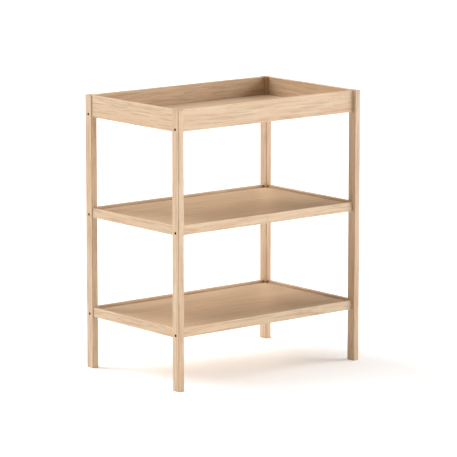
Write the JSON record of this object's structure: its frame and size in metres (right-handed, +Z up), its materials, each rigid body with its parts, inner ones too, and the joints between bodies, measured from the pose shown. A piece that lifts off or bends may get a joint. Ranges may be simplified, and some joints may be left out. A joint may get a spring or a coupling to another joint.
{
  "type": "changing table",
  "caption": "Open wooden changing table: slim rectangular legs carry a shallow framed tray on top and flat framed shelves below it.",
  "frame": {"origin": "on the floor under the middle of the table, the centre of the bounding box's base", "axes": "+Z up, +X along the length to the right as seen from the front, -Y towards the front"},
  "size_m": [0.734, 0.468, 0.87],
  "materials": {
    "beech": "light beech under a thin matt clear lacquer",
    "panel_veneer": "light beech veneer under a thin matt clear lacquer",
    "dowel_wood": "raw fluted birch",
    "black_steel": "black oxide, satin",
    "zinc_steel": "bright zinc plate"
  },
  "bodies": {
    "root": {"leg_front_left": "beech", "leg_front_right": "beech", "leg_back_left": "beech", "leg_back_right": "beech", "lower_shelf_rail_front": "beech", "lower_shelf_rail_back": "beech", "lower_shelf_rail_left": "beech", "lower_shelf_rail_right": "beech", "lower_shelf_panel": "panel_veneer", "middle_shelf_rail_front": "beech", "middle_shelf_rail_back": "beech", "middle_shelf_rail_left": "beech", "middle_shelf_rail_right": "beech", "middle_shelf_panel": "panel_veneer", "tray_rail_front": "beech", "tray_rail_back": "beech", "tray_rail_left": "beech", "tray_rail_right": "beech", "tray_panel": "panel_veneer", "lower_shelf_bolt_front_left": "black_steel", "lower_shelf_bolt_front_right": "black_steel", "lower_shelf_bolt_back_left": "black_steel", "lower_shelf_bolt_back_right": "black_steel", "lower_shelf_nut_front_left": "zinc_steel", "lower_shelf_nut_front_right": "zinc_steel", "lower_shelf_nut_back_left": "zinc_steel", "lower_shelf_nut_back_right": "zinc_steel", "lower_shelf_dowel_front_left": "dowel_wood", "lower_shelf_dowel_front_right": "dowel_wood", "lower_shelf_dowel_back_left": "dowel_wood", "lower_shelf_dowel_back_right": "dowel_wood", "middle_shelf_bolt_front_left": "black_steel", "middle_shelf_bolt_front_right": "black_steel", "middle_shelf_bolt_back_left": "black_steel", "middle_shelf_bolt_back_right": "black_steel", "middle_shelf_nut_front_left": "zinc_steel", "middle_shelf_nut_front_right": "zinc_steel", "middle_shelf_nut_back_left": "zinc_steel", "middle_shelf_nut_back_right": "zinc_steel", "middle_shelf_dowel_front_left": "dowel_wood", "middle_shelf_dowel_front_right": "dowel_wood", "middle_shelf_dowel_back_left": "dowel_wood", "middle_shelf_dowel_back_right": "dowel_wood", "tray_bolt_front_left": "black_steel", "tray_bolt_front_right": "black_steel", "tray_bolt_back_left": "black_steel", "tray_bolt_back_right": "black_steel", "tray_nut_front_left": "zinc_steel", "tray_nut_front_right": "zinc_steel", "tray_nut_back_left": "zinc_steel", "tray_nut_back_right": "zinc_steel", "tray_dowel_front_left": "dowel_wood", "tray_dowel_front_right": "dowel_wood", "tray_dowel_back_left": "dowel_wood", "tray_dowel_back_right": "dowel_wood"}
  },
  "joints": []
}
